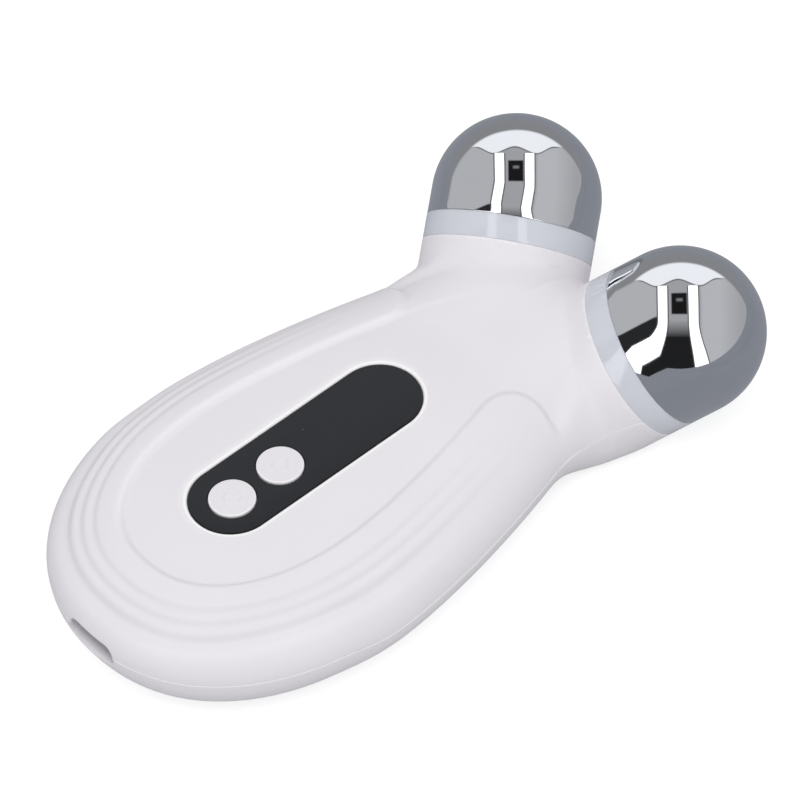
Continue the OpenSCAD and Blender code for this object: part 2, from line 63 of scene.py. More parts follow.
# %% Place the camera
camera_right = Vector((0.6606, 0.7499, -0.0338))
camera_down = Vector((0.5551, -0.5183, -0.6506))
camera_forward = Vector((-0.5054, 0.4110, -0.7587))
camera_place = Vector((0.75911, -0.61271, 1.15769))
sensor_width = 36.0
focal_in_pixels = 9000
picture_width = 800

camera_data = bpy.data.cameras.new("camera")
camera_data.sensor_width = sensor_width
camera_data.lens = focal_in_pixels * sensor_width / picture_width
camera_data.clip_end = 20
camera = bpy.data.objects.new("camera", camera_data)
turn_matrix = Matrix((camera_right, -camera_down, -camera_forward)).transposed()
camera.matrix_world = Matrix.Translation(camera_place) @ turn_matrix.to_4x4()
bpy.context.scene.collection.objects.link(camera)
bpy.context.scene.camera = camera
print("camera distance in m:", round((camera_place - Vector((0, 0, 0.01))).length, 3))

# %% [markdown]
# ## The sizes
# Everything below is in millimetres, in the CAD frame: +Y runs from the charging port to
# the heads, +Z out of the panel, and z = 0 is the flat back.

# %% Sizes of the case
overall_length = 127.5
panel_height = 22.4
wall = 2.0
end_y = -overall_length / 2
handle_half_width = 32.1
handle_widest = 40.85
widest_y = end_y + handle_widest
end_fullness = 2.16
taper_rate = 0.0217
taper_power = 1.58
joint_height = 10.4
shoulder_width = 16.4
underside_round = 16.2
back_cut = 1.5
joint_gap = 0.1
head_splay = radians(35.7)
head_rise = radians(32)
head_radius = 14.55
ring_height = 4.3
dome_skirt = 5.3
dome_wall = 0.9
blend_width = 8.5
head_axis = np.array([sin(head_splay) * cos(head_rise), cos(head_splay) * cos(head_rise), sin(head_rise)])
seat = np.array([15.85, overall_length / 2 - head_radius - (ring_height + dome_skirt) * head_axis[1], 12.7])

# %% Sizes of the panel
panel_y = end_y + 47.75
window_length = 46.9
window_width = 14.7
window_thick = 1.2
button_radius = 4.0
button_gap = 0.15
button_proud = 0.35
power_y = panel_y - 16.06
mode_y = panel_y - 5.59
slot_width = 10.4
slot_height = 3.4

# %% [markdown]
# ## The form of the case as one formula
# A moulded case like this is a soft blend of simple forms: an egg-shaped handle with round
# shoulders, and two round arms that grow out of its neck. It could be modelled with a
# subdivision cage, but then it would only roughly match the CAD. Here a formula says for
# any point how far it is from the skin, negative inside, and the mesh is found from it.

# %% The formula of the skin
SMALL = 1e-6
spine_rear, spine_front = end_y + 27.75, end_y + 97.75
tail_from, tail_lift = end_y + 38.75, 1.25
rise_from, rise_to = end_y + 92.0, end_y + 98.5
neck_round_from, neck_round = end_y + 83.75, 26.0
arm_overrun, arm_root = 10.0, 10.0
blend_fade, crotch_blend, back_edge = 9.0, 5.0, 2.0


def smooth(t):
    """Runs softly from 0 to 1 while t runs from 0 to 1."""
    c = np.clip(t, 0, 1)
    return c * c * (3 - 2 * c)


def joint_z(y):
    """Height of the line between the two case halves."""
    tail = tail_lift * smooth((tail_from - y) / (tail_from - spine_rear))
    return joint_height + tail + (seat[2] - joint_height) * smooth((y - rise_from) / (rise_to - rise_from))


def outline_inset(x, y):
    """Distance inwards from the egg outline, seen from above."""
    u = np.maximum(np.abs(x), SMALL) / handle_half_width
    v = np.maximum(widest_y - y, SMALL) / handle_widest
    r = (u**end_fullness + v**end_fullness) ** (1 / end_fullness)
    du = (u / r) ** (end_fullness - 1) / handle_half_width
    dv = (v / r) ** (end_fullness - 1) / handle_widest
    rear = (r - 1) / np.hypot(du, dv)
    beyond = np.maximum(0, y - widest_y)
    width = np.maximum(6, handle_half_width - taper_rate * beyond**taper_power)
    slope = -taper_rate * taper_power * beyond ** (taper_power - 1)
    u = x / width
    v = np.maximum(0, y - neck_round_from) / neck_round
    r = np.hypot(u, v) + SMALL
    du = u / width / r
    dv = (v / neck_round - u * u * slope / width) / r
    front = (r - 1) / np.maximum(np.hypot(du, dv), SMALL)
    return -np.where(y < widest_y, rear, front)


def handle_distance(p):
    inset = outline_inset(p[..., 0], p[..., 1])
    line = joint_z(p[..., 1])
    above = p[..., 2] > line
    a = np.where(above, shoulder_width, underside_round)
    b = np.where(above, panel_height - line, line + back_cut)
    u = np.maximum(0, a - inset) / a
    v = (p[..., 2] - line) / b
    r = np.hypot(u, v) + 1e-4
    return (r - 1) * r / np.maximum(np.hypot(u / a, v / b), SMALL)


def arm_distance(p, side):
    """Distance to one arm, and how far a point lies behind that arm's seat."""
    axis = head_axis * [side, 1, 1]
    d = p - seat * [side, 1, 1]
    along = d @ axis
    away = np.linalg.norm(d - along[..., None] * axis, axis=-1)
    bar = np.hypot(away, np.maximum(0, -along - arm_root)) - head_radius
    return np.maximum(bar, along - arm_overrun), -along


def soft_min(a, b, k):
    h = np.maximum(k - np.abs(a - b), 0) / np.maximum(k, SMALL)
    return np.minimum(a, b) - h * h * k / 4


def seat_fade(p):
    """1 on the handle, and 0 at the seats, where the case is exactly round."""
    return smooth(np.minimum(arm_distance(p, 1)[1], arm_distance(p, -1)[1]) / blend_fade)


def body_distance(p):
    fade = seat_fade(p)
    arms = soft_min(arm_distance(p, 1)[0], arm_distance(p, -1)[0], crotch_blend * fade)
    blended = soft_min(handle_distance(p), arms, blend_width * fade)
    return -soft_min(-blended, p[..., 2], back_edge * fade)


print("seat of the right head in mm:", seat.round(2))

# %% [markdown]
# ## The relief of the top
# The upper half has a raised U-shaped pad that runs round the panel and ends in two round
# tips at the neck. Inside it the surface lies about 1 mm lower and rises again in a soft
# mound to the black window. Three shallow grooves run along the outer slope of the pad and
# fade out towards the neck. Each is steeper on its inner side. All of it follows the egg
# outline, a little closer to it at the port end, so it is written with the inset from that
# outline, and it is taken off the skin as a depth.

# %% The depth of the relief
pad_inner_inset = 13.4
pad_tip_y = panel_y + 36.2
pad_corner = 8.5
step_width = 1.5
step_height = 1.05
mound_width = 12.0
# Inset, width of the outer and of the inner side, and depth
grooves = [(8.7, 0.8, 0.5, 0.24), (6.6, 0.8, 0.5, 0.26), (4.5, 1.3, 0.5, 0.42)]
groove_shade_half = 0.4


def line_inset(x, y):
    """The inset that the lines of the relief follow."""
    return outline_inset(x, y) + 0.65 * smooth((-42 - y) / 16)


def window_distance(x, y):
    """Distance from the edge of the window, seen from above."""
    straight = (window_length - window_width) / 2
    return np.hypot(x, np.maximum(np.abs(y - panel_y) - straight, 0)) - window_width / 2


def groove_fade(y):
    """1 at the port end, and 0 at the neck."""
    return 1 - smooth((y + 31) / 50)


def bell(value, middle, half):
    """1 at the middle, and falling off softly on both sides."""
    return np.exp(-(((value - middle) / half) ** 2))


def relief(p):
    """How deep the top lies below the plain skin."""
    x, y, z = p[..., 0], p[..., 1], p[..., 2]
    inset = line_inset(x, y)
    a = inset - pad_inner_inset + pad_corner
    b = y - pad_tip_y + pad_corner
    off_pad = np.hypot(np.maximum(a, 0), np.maximum(b, 0)) + np.minimum(np.maximum(a, b), 0) - pad_corner
    step = smooth(off_pad / step_width + 0.5)
    mound = smooth(window_distance(x, y) / mound_width)
    flank = smooth((inset - 0.5) / 4)
    before_arms = 1 - smooth((y - 27) / 13)
    depth = step_height * step * mound * flank * before_arms
    for place, outer, inner, deep in grooves:
        width = np.where(inset < place, outer, inner)
        depth = depth + deep * groove_fade(y) * bell(inset, place, width)
    return depth * smooth((z - joint_z(y)) / 5)


# %% [markdown]
# ## A mesh that follows the relief
# Rays leave a spine inside the handle, once round it. On each ray the mesh gets its rows
# where the inset has a chosen value, so the rows run along the step and the grooves. An
# even grid would cut across them and leave saw teeth. The rows lie closest where the
# relief is.

# %% Rays and rows
rear_rays, front_rays = 52, 60
halvings = 30
even_reach = 27.0
last_aligned = 14.9
rim_blend = 8.0


def make_rays():
    """Start on the spine and direction of each ray of the right half, from the port end to the neck."""
    rays = [(spine_rear, sin(t), -cos(t)) for t in np.linspace(0, pi / 2, rear_rays + 1)]
    fine_from, fine_to = pad_tip_y - 14, pad_tip_y + 4
    y = spine_rear
    while y < spine_front - 0.8:
        y += 0.4 if fine_from < y < fine_to else 0.75
        rays.append((y, 1.0, 0.0))
    rays += [(spine_front, cos(t), sin(t)) for t in np.linspace(0, pi / 2, front_rays + 1)]
    return np.array(rays)


right_rays = make_rays()
half_turn = len(right_rays) - 1
left_rays = right_rays[half_turn - 1:0:-1] * [1, -1, 1]
rays = np.concatenate([right_rays, left_rays])
turn = len(rays)
print("rays round the case:", turn)


def bisect(low, high, distance):
    """Finds where a distance changes sign, for all points at once."""
    for _ in range(halvings):
        middle = (low + high) / 2
        inside = distance(middle) < 0
        low, high = np.where(inside, middle, low), np.where(inside, high, middle)
    return (low + high) / 2


def on_ray(r, z):
    """Points at distance r along each ray, at height z."""
    x = rays[:, 1, None] * r
    y = rays[:, 0, None] + rays[:, 2, None] * r
    return np.stack([x, y, np.broadcast_to(z, x.shape)], -1)


rim_z = joint_z(rays[:, 0])[:, None]


def rim_reach(height, inset):
    """Distance along each ray at which the skin, moved inwards by inset, is met."""
    def distance(r):
        return body_distance(on_ray(r, height)) + inset
    return bisect(np.zeros((turn, 1)), np.full((turn, 1), 60.0), distance)


def row_reach(insets, reach):
    """Distance along each ray for a list of insets, which may run past the aligned ones to the spine."""
    samples = reach * np.linspace(0, 1, 400)
    points = on_ray(samples, rim_z)
    front = np.where(np.abs(rays[:, 1]) < 0.9999, np.where(rays[:, 0] > 0, 1.0, 0.0),
                     smooth((rays[:, 0] - pad_tip_y) / (spine_front - pad_tip_y)))[:, None]
    inset = line_inset(points[..., 0], points[..., 1])
    inset = inset - inset[:, -1:] * np.maximum(0, 1 - (reach - samples) / rim_blend)
    measure = (1 - front) * inset + front * even_reach * (1 - samples / reach)
    aligned = insets[insets <= last_aligned]
    rest = (insets[insets > last_aligned] - last_aligned) / (insets[-1] - last_aligned)
    rows = np.stack([np.interp(aligned, m[::-1], s[::-1]) for m, s in zip(measure, samples)])
    inner = rows[:, -1:] + (0.35 - rows[:, -1:]) * rest
    return np.concatenate([rows, inner], 1)


# %% [markdown]
# ## Closing a skin into a solid
# A case half is a thin wall, so its mesh needs an outer side, a narrow face at the joint
# and an inner side. All three are rows of the same rays. A strip of faces closes the
# middle, like a zip. One function does this for both halves.

# %% Make a closed half
edge_chamfer = 0.14
past_top, past_back = 40.0, -9.0


def new_object(name, points, faces):
    """A mesh object from points in millimetres."""
    mesh = bpy.data.meshes.new(name)
    mesh.from_pydata((np.asarray(points) / 1000).tolist(), [], faces)
    piece = bpy.data.objects.new(name, mesh)
    bpy.context.scene.collection.objects.link(piece)
    tidy = bmesh.new()
    tidy.from_mesh(mesh)
    bmesh.ops.remove_doubles(tidy, verts=tidy.verts, dist=1e-7)
    bmesh.ops.recalc_face_normals(tidy, faces=tidy.faces)
    tidy.to_mesh(mesh)
    tidy.free()
    return piece


def half_case(name, upward, outer_insets, distance):
    """One case half as a closed thin-walled solid."""
    start = rim_z if upward else rim_z - joint_gap
    far = past_top if upward else past_back
    sign = 1 if upward else -1

    def rows_of(reaches, measure):
        low = np.broadcast_to(start, reaches.shape)
        flat = on_ray(reaches, 0)

        def at(z):
            p = flat.copy()
            p[..., 2] = z
            return measure(p)
        heights = bisect(low, np.full(reaches.shape, far), at)
        flat[..., 2] = heights
        return flat

    outer_reach = rim_reach(start, 0)
    inner_reach = rim_reach(start, wall)
    outer = rows_of(row_reach(outer_insets, outer_reach), distance)
    edge = on_ray(outer_reach, start + sign * edge_chamfer)
    inset_edge = on_ray(outer_reach - edge_chamfer, start)
    shares = np.array([0.97, 0.92, 0.84, 0.72, 0.56, 0.4, 0.22, 0.1])
    inner = rows_of(np.concatenate([inner_reach * shares, np.full((turn, 1), 0.35)], 1),
                    lambda p: body_distance(p) + wall)
    inner_edge = on_ray(inner_reach, start)
    table = np.concatenate([outer[:, ::-1], edge, inset_edge, inner_edge, inner], 1)
    count = table.shape[1]
    points = table.transpose(1, 0, 2).reshape(-1, 3)
    i = np.arange(turn)
    j = (i + 1) % turn
    faces = np.concatenate([np.stack([r * turn + i, r * turn + j, (r + 1) * turn + j, (r + 1) * turn + i], 1)
                            for r in range(count - 1)]).tolist()
    last = (count - 1) * turn
    for k in range(half_turn):
        zip_face = [k, k + 1, turn - k - 1, (turn - k) % turn]
        if k == 0:
            zip_face = [0, 1, turn - 1]
        if k == half_turn - 1:
            zip_face = [k, k + 1, turn - k]
        faces.append(zip_face)
        faces.append([v + last for v in reversed(zip_face)])
    return new_object(name, points, faces)


# %% [markdown]
# ## Cutting openings
# Windows, bores and slots are cut by solids a bit larger than what sits in them.
# The edges of real openings are never knife sharp, so each cutter carries the small round
# of the edge in its own outline: it widens towards the surface.

# %% Cutters and the cut
def lathe(name, profile, segments=96):
    """Solid of revolution round Z from (radius, height) points that start and end on the axis."""
    turn_step = 2 * pi / segments
    points = [(0.0, 0.0, profile[0][1])]
    for radius, height in profile[1:-1]:
        points += [(radius * cos(a), radius * sin(a), height) for a in np.arange(segments) * turn_step]
    points.append((0.0, 0.0, profile[-1][1]))
    rings = len(profile) - 2
    faces = []
    for k in range(segments):
        n = (k + 1) % segments
        faces.append([0, 1 + n, 1 + k])
        for r in range(rings - 1):
            a, b = 1 + r * segments, 1 + (r + 1) * segments
            faces.append([a + k, a + n, b + n, b + k])
        a = 1 + (rings - 1) * segments
        faces.append([a + k, a + n, len(points) - 1])
    return new_object(name, points, faces)


def stack(name, outlines):
    """Solid through a list of closed outlines with equal point counts, with flat ends."""
    count = len(outlines[0])
    points = np.concatenate(outlines)
    faces = [list(range(count))[::-1], list(range(len(points) - count, len(points)))]
    for r in range(len(outlines) - 1):
        for k in range(count):
            n = (k + 1) % count
            faces.append([r * count + k, r * count + n, (r + 1) * count + n, (r + 1) * count + k])
    return new_object(name, points, faces)


def pill_outline(length, width, z, grow=0.0, steps=40):
    """Round-ended outline round the middle of the panel."""
    straight = (length - width) / 2
    angles = np.linspace(-pi / 2, pi / 2, steps)
    radius = width / 2 + grow
    right = np.stack([radius * np.sin(angles), -radius * np.cos(angles)], 1)
    rear = right + [0, panel_y - straight]
    front = -right + [0, panel_y + straight]
    flat = np.concatenate([rear, front])
    return np.column_stack([flat, np.full(len(flat), z)])


def carve(piece, tool, how="DIFFERENCE"):
    """Applies a boolean and removes its tool."""
    modifier = piece.modifiers.new("cut", "BOOLEAN")
    modifier.operation, modifier.solver, modifier.object = how, "MANIFOLD", tool
    bpy.context.view_layer.update()
    made = bpy.data.meshes.new_from_object(piece.evaluated_get(bpy.context.evaluated_depsgraph_get()))
    piece.modifiers.clear()
    piece.data = made
    bpy.data.objects.remove(tool)
    return piece


def at_head(piece, side):
    """Moves a piece that was made along Z onto one head."""
    place = Matrix.Translation(Vector(seat * [side, 1, 1]) / 1000)
    turned = Matrix.Rotation(-side * head_splay, 4, "Z") @ Matrix.Rotation(head_rise - pi / 2, 4, "X")
    piece.data.transform(place @ turned)
    return piece


def fillet(centre, radius, start, end, steps=6):
    """Points of an arc in the (radius, height) plane, angles in degrees."""
    angles = np.radians(np.linspace(start, end, steps))
    return [(centre[0] + radius * cos(a), centre[1] + radius * sin(a)) for a in angles]


def smooth_shade(piece, sharp_angle=32):
    piece.data.shade_smooth()
    piece.data.set_sharp_from_angle(angle=radians(sharp_angle))
    return piece


# %% [markdown]
# ## Painted highlights on edges, painted shade in hollows
# Where two mouldings meet, their small rounded edges show as fine light lines, and the bottom
# of a groove looks a little deeper in tone. Both are painted into the colour: the light lines
# as painted highlights, the deeper tone as painted shade, also in the mouth of the charging slot.
# A shader can guess both from the mesh, but that guess also marks long thin triangles. So they
# are marked by their place instead: each point stores two numbers that the finish reads.

# %% Mark painted highlights and painted shade
# Painted highlights: their levels, and where the crest and the left slope lie; then the levels of the painted
# shade
joint_light, seat_light = 0.25, 0.6
crest_light, crest_inset, crest_half = 0.14, 2.5, 0.6
slope_light, slope_inset, slope_half, slope_end = 0.32, 12.9, 0.7, 36.0
groove_shade_level, mouth_shade_level = 0.12, 0.55


def mark(piece, name, measure):
    """Stores at each point how much painted highlight or painted shade it gets, from 0 to 1."""
    places = np.empty(3 * len(piece.data.vertices))
    piece.data.vertices.foreach_get("co", places)
    marks = piece.data.attributes.new(name, "FLOAT", "POINT")
    marks.data.foreach_set("value", measure(1000 * places.reshape(-1, 3)).astype(np.float32))


def case_painted_highlights(p):
    """Painted highlights along the joint line, the edges of the seats, the crest outside the grooves, and the
    slope of the pad on the left side, which faces the lamp.
    """
    x, y, z = p.T
    off_joint = np.abs(z - joint_z(y) + joint_gap / 2)
    off_seat = np.abs(np.minimum(arm_distance(p, 1)[1], arm_distance(p, -1)[1]))
    fine = np.maximum(joint_light * (1 - smooth((off_joint - 0.2) / 0.15)),
                      seat_light * (1 - smooth((off_seat - 0.1) / 0.15)))
    inset = line_inset(x, y)
    crest = crest_light * groove_fade(y) * smooth((z - joint_z(y)) / 3) * bell(inset, crest_inset, crest_half)
    on_top = (y < slope_end) * (z > joint_height + 4)
    slope = slope_light * smooth((-x - 4) / 9) * on_top * bell(inset, slope_inset, slope_half)
    return np.maximum(fine, np.maximum(crest, slope))


def case_painted_shade(p):
    """Painted shade in the bottoms of the three grooves, and in the mouth of the charging slot."""
    x, y, z = p.T
    bottoms = np.array([place + 0.25 for place, *rest in grooves])
    lines = bell(line_inset(x, y)[:, None], bottoms, groove_shade_half).max(axis=1)
    lines = groove_shade_level * groove_fade(y) * (z > joint_height + 4) * lines
    sideways = np.maximum(0, np.abs(x) - (slot_width - slot_height) / 2)
    slot_z = joint_height + tail_lift
    off_slot = np.hypot(sideways, z - slot_z) - slot_height / 2
    mouth = mouth_shade_level * (y < end_y + 8) * (1 - smooth((off_slot - 0.4 * (z < slot_z)) / 0.3))
    return np.maximum(lines, mouth)


# %% [markdown]
# ## The upper half of the case
# The row list is fine along the step and the grooves and at the joint line. After that
# come the cuts: the two seats, the pocket of the window with its rounded rim, and half of
# the slot of the charging port.

# %% Build the upper half
first_angle = 1.5
shoulder_rows = shoulder_width * (1 - np.cos(np.radians([first_angle, *np.arange(4.0, 29, 3.5)])))
relief_rows = np.arange(shoulder_rows[-1] + 0.25, last_aligned + 0.01, 0.26)
inner_rows = last_aligned + np.arange(1, 25) * 0.7
top_rows = np.concatenate([shoulder_rows, relief_rows, inner_rows])
case_top = half_case("case_top", True, top_rows, lambda p: body_distance(p) + relief(p))
print("upper half:", len(case_top.data.vertices), "points before the cuts")

# %% Cut the seats, the pocket and the port slot
seat_round = 0.2
plug_radius, plug_depth, plug_floor = 12.1, 7.1, 2.3


def seat_cutter():
    """What lies in front of the seat, with the small round of the seat's edge."""
    corner = fillet((head_radius - seat_round, -seat_round), seat_round, 90, 0)
    past_skin, past_head = head_radius + 0.06, 26
    outer = [(past_skin, -seat_round), (past_skin, 0), (past_head, 0), (past_head, 30), (0, 30)]
    return lathe("seat_cutter", [(0, 0)] + corner + outer)


def bore_cutter(side):
    """The bore for the plug of a head, with a level floor above the flat back."""
    bore = lathe("bore_cutter", [(0, -plug_depth), (plug_radius, -plug_depth), (plug_radius, 1), (0, 1)])
    square = np.array([(-60, -80), (60, -80), (60, 80), (-60, 80)])
    room = stack("room", [np.column_stack([square, np.full(4, z)]) for z in (plug_floor, 60)])
    return carve(at_head(bore, side), room, "INTERSECT")


def slot_cutter():
    """The charging slot, with a small round at its mouth and a larger one along its lower lip."""
    angles = np.linspace(-pi / 2, pi / 2, 16)
    half, flat = slot_height / 2, (slot_width - slot_height) / 2
    right = np.stack([half * np.cos(angles) + flat, half * np.sin(angles)], 1)
    left = -right
    outline = np.concatenate([right, left])
    normal = np.concatenate([np.stack([np.cos(angles), np.sin(angles)], 1)] * 2)
    normal[len(angles):] *= -1
    layers = []
    round_off = 0.22
    fuller_below = 1 + 5 * np.maximum(0, -normal[:, 1])
    steps = [(6.0, 0.0), (round_off, 0.0)]
    steps += [(round_off * (1 - sin(a)), round_off * (1 - cos(a))) for a in np.radians([15, 35, 55, 72, 85])]
    steps += [(-0.02, round_off), (-2.0, round_off)]
    for deep, grow in steps:
        xz = outline + normal * (grow * fuller_below)[:, None]
        p = np.column_stack([xz[:, 0], np.zeros(len(xz)), xz[:, 1] + joint_height + tail_lift])

        def at(y):
            q = p.copy()
            q[:, 1] = y
            return body_distance(q)
        skin_y = bisect(np.full(len(p), -40.0), np.full(len(p), -70.0), at)
        p[:, 1] = skin_y + deep * fuller_below if deep < 5 else end_y + 6
        layers.append(p)
    return stack("slot_cutter", layers)


def pocket_cutter():
    """The pocket of the window: straight walls that open in a small round at the top."""
    rim_round = 0.55
    low = panel_height - window_thick - 0.15
    layers = [pill_outline(window_length, window_width, low, 0.05),
              pill_outline(window_length, window_width, panel_height - rim_round, 0.05)]
    for a in np.radians([15, 30, 45, 60, 75, 88]):
        layers.append(pill_outline(window_length, window_width, panel_height - rim_round * (1 - sin(a)),
                                   0.05 + rim_round * (1 - cos(a))))
    layers.append(pill_outline(window_length, window_width, panel_height + 1, 0.06 + rim_round))
    return stack("pocket_cutter", layers)


def port_and_seats(piece):
    for side in (1, -1):
        carve(piece, at_head(seat_cutter(), side))
        carve(piece, bore_cutter(side))
    return carve(piece, slot_cutter())


port_and_seats(case_top)
carve(case_top, pocket_cutter())
ledge = 3.2
opening = [pill_outline(window_length - ledge, window_width - ledge, z) for z in (17, 23)]
carve(case_top, stack("opening_cutter", opening))
smooth_shade(case_top)
# Painted highlights and painted shade, stored on the points for the finish
mark(case_top, "painted_highlight", case_painted_highlights)
mark(case_top, "hollow", case_painted_shade)
print("upper half:", len(case_top.data.polygons), "faces after the cuts")

# %% [markdown]
# ## The lower half of the case
# It has no relief, only a soft edge round the flat back. Four deep holes let the case
# screws in, each with a boss behind it that the screw's head pulls against.

# %% Build the lower half
low_rows = np.concatenate([
    underside_round * (1 - np.cos(np.radians([first_angle, *np.arange(4.0, 45, 4)]))),
    np.arange(5.2, 11.2, 0.35), np.arange(11.6, last_aligned + 0.1, 0.7),
    last_aligned + np.arange(1, 13) * 1.4])
case_bottom = half_case("case_bottom", False, low_rows, body_distance)
screw_places = [(16.5, end_y + 69.75), (19.0, end_y + 29.75)]
boss_radius, screw_recess, screw_bore = 3.2, 2.3, 1.02
for x, y in [(s * x, y) for x, y in screw_places for s in (1, -1)]:
    boss_top = joint_height - joint_gap
    boss = lathe("boss", [(0, 1), (boss_radius, 1), (boss_radius, boss_top), (0, boss_top)], 48)
    boss.data.transform(Matrix.Translation((x / 1000, y / 1000, 0)))
    carve(case_bottom, boss, "UNION")
    edge = fillet((screw_recess + 0.4, 0.4), 0.4, 180, 270)[::-1]
    hole = lathe("hole", [(0, -1), (screw_recess + 0.4, -1)] + edge +
                 [(screw_recess, 5), (screw_bore, 5), (screw_bore, 12), (0, 12)], 48)
    hole.data.transform(Matrix.Translation((x / 1000, y / 1000, 0)))
    carve(case_bottom, hole)
port_and_seats(case_bottom)
smooth_shade(case_bottom)
# Painted highlights and painted shade, stored on the points for the finish
mark(case_bottom, "painted_highlight", case_painted_highlights)
mark(case_bottom, "hollow", case_painted_shade)
print("lower half:", len(case_bottom.data.polygons), "faces after the cuts")

# %% [markdown]
# ## The black window
# A plate of printed polycarbonate, flush with the panel, with a polished edge and two
# round holes for the buttons.

# %% Build the window
window_low = panel_height - window_thick
edge_round = 0.18
layers = [pill_outline(window_length, window_width, window_low)]
for a in np.radians([0, 22, 45, 67, 90]):
    layers.append(pill_outline(window_length, window_width, panel_height - edge_round * (1 - sin(a)),
                               -edge_round * (1 - cos(a))))
window = stack("black_window", layers)
for y in (power_y, mode_y):
    hole_radius = button_radius + button_gap
    corner = [(hole_radius + edge_round * (1 - cos(a)), panel_height - edge_round * (1 - sin(a)))
              for a in np.radians([0, 30, 60, 88])]
    hole = lathe("hole", [(0, window_low - 1), (hole_radius, window_low - 1)] + corner +
                 [(hole_radius + edge_round + 0.01, panel_height + 1), (0, panel_height + 1)], 128)
    hole.data.transform(Matrix.Translation((0, y / 1000, 0)))
    carve(window, hole)
smooth_shade(window, 25)
print("window:", len(window.data.polygons), "faces")

# %% [markdown]
# ## The two buttons
# Each is a moulded cap with a rounded edge, a flange behind the window and a stem that
# bears on the switch. The first carries a raised on-off sign, the second a small raised
# ring, so that a thumb can tell them apart.

# %% Build the buttons
flange_top, flange_thick, flange_radius = window_low - 0.2, 0.7, 4.9
stem_radius, stem_low = 1.6, 19.4
cap_round = 0.32
cap_top = panel_height + button_proud
sign_width, sign_high, sign_radius = 0.34, 0.12, 1.45


def raised_arc(name, radius, start, end, z):
    """A low ridge along an arc, with sloping sides."""
    angles = np.radians(np.linspace(start, end, 40))
    closed = abs(end - start) >= 359.9
    section = [(-sign_width / 2, -0.1), (sign_width / 2, -0.1), (sign_width / 2, 0.02),
               (sign_width / 4, sign_high), (-sign_width / 4, sign_high), (-sign_width / 2, 0.02)]
    points, faces, n = [], [], len(section)
    use = angles[:-1] if closed else angles
    for a in use:
        points += [((radius + w) * cos(a), (radius + w) * sin(a), z + h) for w, h in section]
    for r in range(len(use) if closed else len(use) - 1):
        nxt = (r + 1) % len(use)
        faces += [[r * n + k, r * n + (k + 1) % n, nxt * n + (k + 1) % n, nxt * n + k] for k in range(n)]
    if not closed:
        faces += [list(range(n)), list(range(len(points) - n, len(points)))[::-1]]
    return new_object(name, points, faces)


def raised_bar(name, x, y_from, y_to, z):
    w = sign_width / 2
    low = [(x - w, y_from, z - 0.1), (x + w, y_from, z - 0.1), (x + w, y_to, z - 0.1), (x - w, y_to, z - 0.1)]
    high = [(x - w / 2, y_from + w / 2, z + sign_high), (x + w / 2, y_from + w / 2, z + sign_high),
            (x + w / 2, y_to - w / 2, z + sign_high), (x - w / 2, y_to - w / 2, z + sign_high)]
    return stack(name, [np.array(low), np.array(high)])


def button(name, y, ridges):
    corner = fillet((button_radius - cap_round, cap_top - cap_round), cap_round, 0, 90, 8)
    piece = lathe(name, [(0, stem_low), (stem_radius, stem_low), (stem_radius, flange_top - flange_thick),
                         (flange_radius, flange_top - flange_thick), (flange_radius, flange_top),
                         (button_radius, flange_top)] + corner + [(2.0, cap_top), (0, cap_top)], 128)
    for ridge in ridges:
        carve(piece, ridge, "UNION")
    piece.data.transform(Matrix.Translation((0, y / 1000, 0)))
    # A painted highlight in a thin ring along the rounded edge of the cap
    mark(piece, "painted_highlight", lambda p: 1 - smooth(np.abs(np.hypot(p[:, 0], p[:, 1] - y) - 3.88) / 0.18))
    return smooth_shade(piece, 40)


power_button = button("power_cap", power_y, [
    raised_arc("arc", sign_radius, 90 + 32, 90 + 328, cap_top), raised_bar("bar", 0, 0.35, 1.9, cap_top)])
mode_button = button("mode_cap", mode_y, [raised_arc("ring", sign_radius * 0.9, 0, 360, cap_top)])
print("button faces:", len(power_button.data.polygons), len(mode_button.data.polygons))

# %% [markdown]
# ## Rings and domes
# Both are turned forms, so both come from a lathe profile. Their outer radius is that of
# the arm, and small rounds at the edges make the fine lines where they meet.

# %% Build rings and domes
ring_round, dome_round = 0.1, 0.14
ring_bore = plug_radius
dome_centre = ring_height + dome_skirt


def ring_profile():
    low = fillet((head_radius - ring_round, ring_round), ring_round, -90, 0, 4)
    high = fillet((head_radius - ring_round, ring_height - ring_round), ring_round, 0, 90, 4)
    return low + high


def tube_ring(name, side, outer, bore, low, high, segments=144):
    """A ring with a lathe-turned outside and a plain bore."""
    piece = lathe(name, [(0, low)] + outer + [(0, high)], segments)
    bore_tool = lathe("bore", [(0, low - 1), (bore, low - 1), (bore, high + 1), (0, high + 1)], segments)
    carve(piece, bore_tool)
    return smooth_shade(at_head(piece, side), 30)


def dome(name, side):
    """A polished cap. It stays a hair smaller than the CAD dome, so the size of the whole doesn't grow."""
    radius, inner_radius = head_radius - 0.02, head_radius - dome_wall
    outer = fillet((radius - dome_round, ring_height + dome_round), dome_round, -90, 0, 4)
    outer += [(radius, ring_height + dome_skirt * t) for t in (0.33, 0.66)]
    outer += fillet((0, dome_centre), radius, 0, 88.5, 60)
    piece = lathe(name, [(0, ring_height)] + outer + [(0, dome_centre + radius)], 192)
    hollow = [(0, ring_height - 1), (inner_radius, ring_height - 1)]
    hollow += fillet((0, dome_centre), inner_radius, 0, 88, 24)
    carve(piece, lathe("hollow", hollow + [(0, dome_centre + inner_radius)], 96))
    return smooth_shade(at_head(piece, side), 30)


sides = {"left": -1, "right": 1}
rings = {word: tube_ring(f"{word}_ring", side, ring_profile(), ring_bore, 0, ring_height)
         for word, side in sides.items()}
domes = {word: dome(f"{word}_polished_dome", side) for word, side in sides.items()}
print("dome faces:", len(domes["left"].data.polygons))

# %% [markdown]
# ## What stands for what
# Each new piece takes the place of a CAD piece and moves with that piece's body.

# %% Ride and replace
def stands_for(piece, node, body):
    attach(piece, body)
    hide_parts(node)


